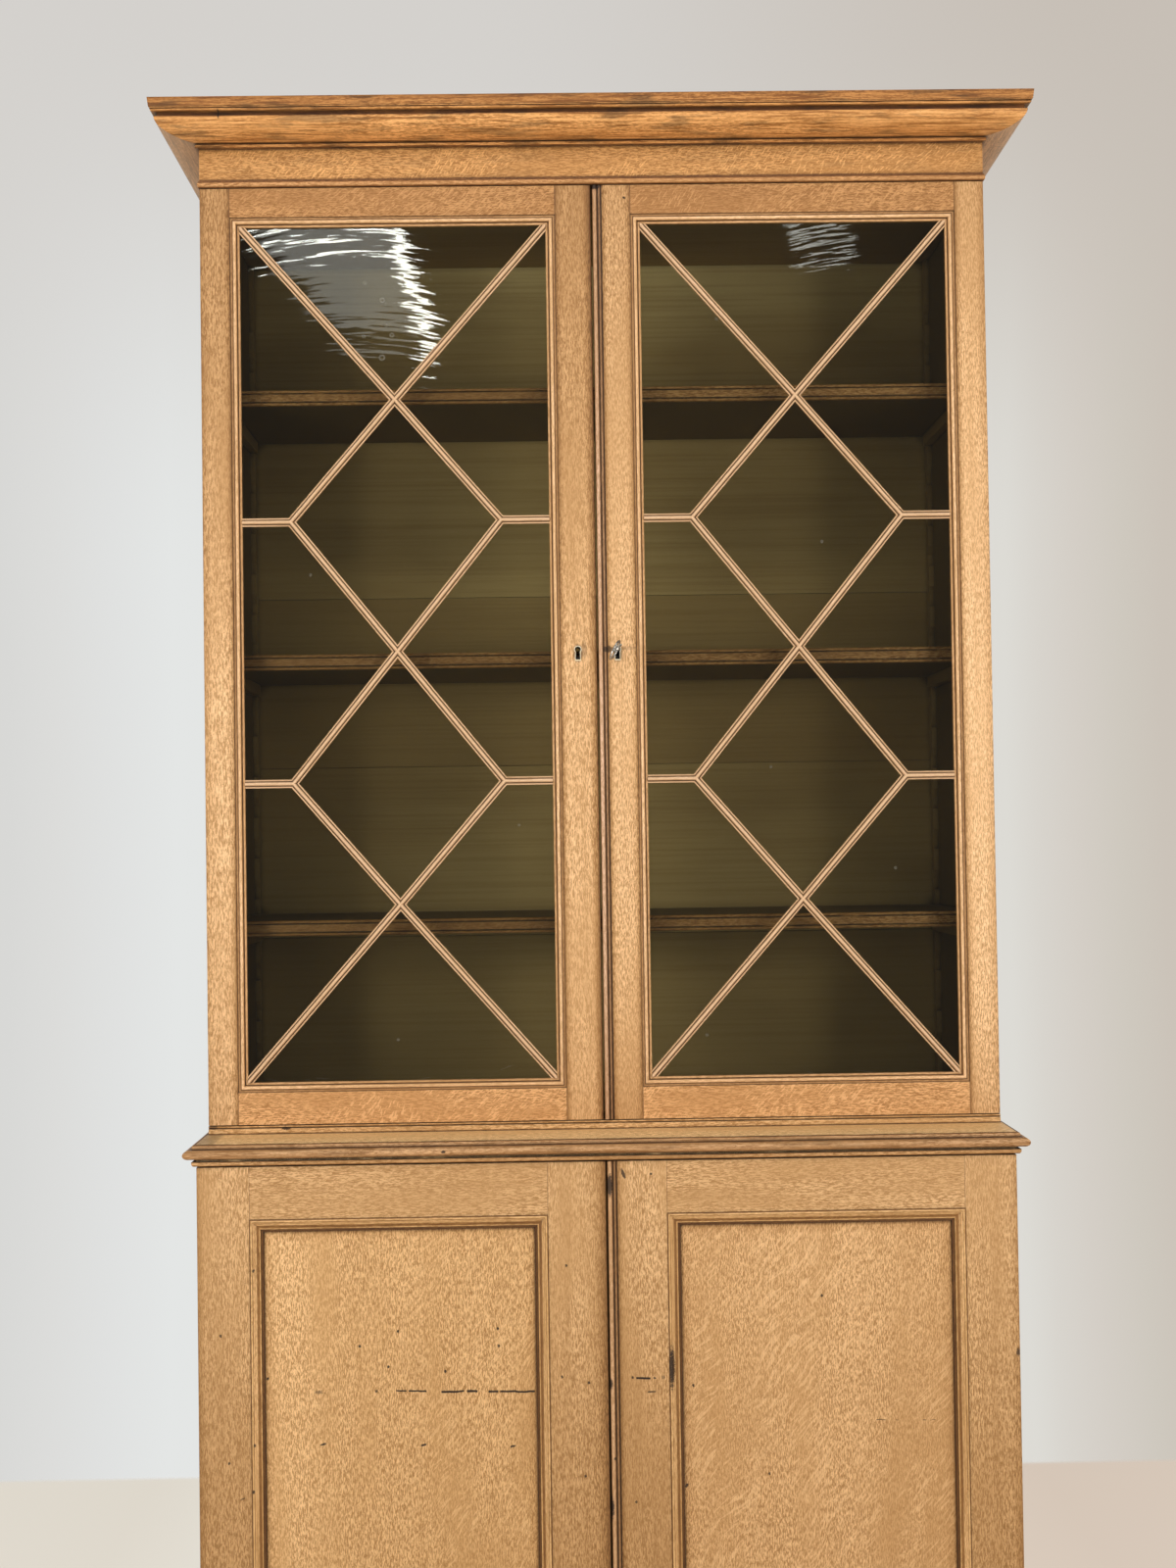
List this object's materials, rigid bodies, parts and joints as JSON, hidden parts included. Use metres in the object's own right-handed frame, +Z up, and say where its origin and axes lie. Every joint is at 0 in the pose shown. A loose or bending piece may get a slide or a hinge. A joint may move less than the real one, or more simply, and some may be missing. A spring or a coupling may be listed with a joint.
{
  "type": "glazed display cabinet",
  "caption": "Oak display cabinet: glazed lattice doors and shelves over a panelled cupboard, with cornice, waist moulding, working doors, lock and bolts.",
  "frame": {"origin": "on the floor, under the middle of the cabinet's overall box", "axes": "+Z up, +X to the right of a person facing the doors, -Y out of the front"},
  "size_m": [1.278, 0.505, 2.3721],
  "materials": {
    "oak": "satin",
    "inner_wood": "matte",
    "glass": "clear, slightly wavy",
    "brass": "aged",
    "steel": "worn"
  },
  "bodies": {
    "case": {"cornice_moulding": "oak", "frieze_bead": "oak", "cornice_frieze": "oak", "upper_sides": "oak", "upper_base_moulding": "oak", "waist_board": "oak", "waist_nosing": "oak", "waist_bed_moulding": "oak", "lower_sides": "oak", "lower_front_rail": "oak", "plinth_board": "oak", "base_moulding": "oak", "bottom_shelf": "oak", "middle_shelf": "oak", "top_shelf": "oak", "cornice_top_board": "inner_wood", "upper_top_board": "inner_wood", "upper_bottom_board": "inner_wood", "upper_back_boards": "inner_wood", "lower_bottom_board": "inner_wood", "lower_back_boards": "inner_wood", "lower_shelf": "inner_wood", "shelf_bearers": "inner_wood", "sawtooth_strips": "inner_wood", "bolt_plates_and_catches": "brass", "case_hinge_leaves": "brass", "hinge_pins": "brass"},
    "left_upper_door": {"left_upper_stiles": "oak", "left_upper_rails": "oak", "left_upper_glass_moulding": "oak", "left_upper_glazing_bars": "oak", "left_upper_panes": "glass", "left_upper_hinge_leaves": "brass", "left_upper_escutcheon": "brass", "bolt_guides": "brass", "lock_keeper": "brass"},
    "left_lower_door": {"left_lower_stiles": "oak", "left_lower_rails": "oak", "left_lower_panel": "oak", "left_lower_panel_moulding": "oak", "left_lower_hinge_leaves": "brass"},
    "right_upper_door": {"right_upper_stiles": "oak", "right_upper_rails": "oak", "right_upper_glass_moulding": "oak", "right_upper_glazing_bars": "oak", "right_upper_panes": "glass", "right_upper_hinge_leaves": "brass", "right_upper_escutcheon": "brass", "right_upper_closing_bead": "oak", "lock_case": "brass"},
    "right_lower_door": {"right_lower_stiles": "oak", "right_lower_rails": "oak", "right_lower_panel": "oak", "right_lower_panel_moulding": "oak", "right_lower_hinge_leaves": "brass", "right_lower_closing_bead": "oak"},
    "top_bolt": {"top_bolt": "brass"},
    "bottom_bolt": {"bottom_bolt": "brass"},
    "lock_bolt": {"lock_bolt": "brass"},
    "key": {"key": "steel"}
  },
  "joints": [
    {"name": "left_upper_door_hinge", "type": "hinge", "parent": "case", "child": "left_upper_door", "pos_m": [-0.5755, -0.1131, 1.574], "axis": [0, 0, -1], "range_deg": [0, 170]},
    {"name": "right_upper_door_hinge", "type": "hinge", "parent": "case", "child": "right_upper_door", "pos_m": [0.5755, -0.1131, 1.574], "axis": [0, 0, 1], "range_deg": [0, 170]},
    {"name": "left_lower_door_hinge", "type": "hinge", "parent": "case", "child": "left_lower_door", "pos_m": [-0.5775, -0.2131, 0.4665], "axis": [0, 0, -1], "range_deg": [0, 170]},
    {"name": "right_lower_door_hinge", "type": "hinge", "parent": "case", "child": "right_lower_door", "pos_m": [0.5775, -0.2131, 0.4665], "axis": [0, 0, 1], "range_deg": [0, 170]},
    {"name": "top_bolt_slide", "type": "slide", "parent": "left_upper_door", "child": "top_bolt", "axis": [0, 0, 1], "range_m": [0, 0.012]},
    {"name": "bottom_bolt_slide", "type": "slide", "parent": "left_upper_door", "child": "bottom_bolt", "axis": [0, 0, -1], "range_m": [0, 0.012]},
    {"name": "key_turn", "type": "hinge", "parent": "right_upper_door", "child": "key", "pos_m": [0.0275, -0.1098, 1.575], "axis": [0, -1, 0], "range_deg": [0, 90]},
    {"name": "lock_bolt_slide", "type": "slide", "parent": "right_upper_door", "child": "lock_bolt", "axis": [-1, 0, 0], "range_m": [0, 0.01132]}
  ],
  "couplings": [
    {"joint": "lock_bolt_slide", "follows": "key_turn", "m_per_rad": 0.0072}
  ]
}
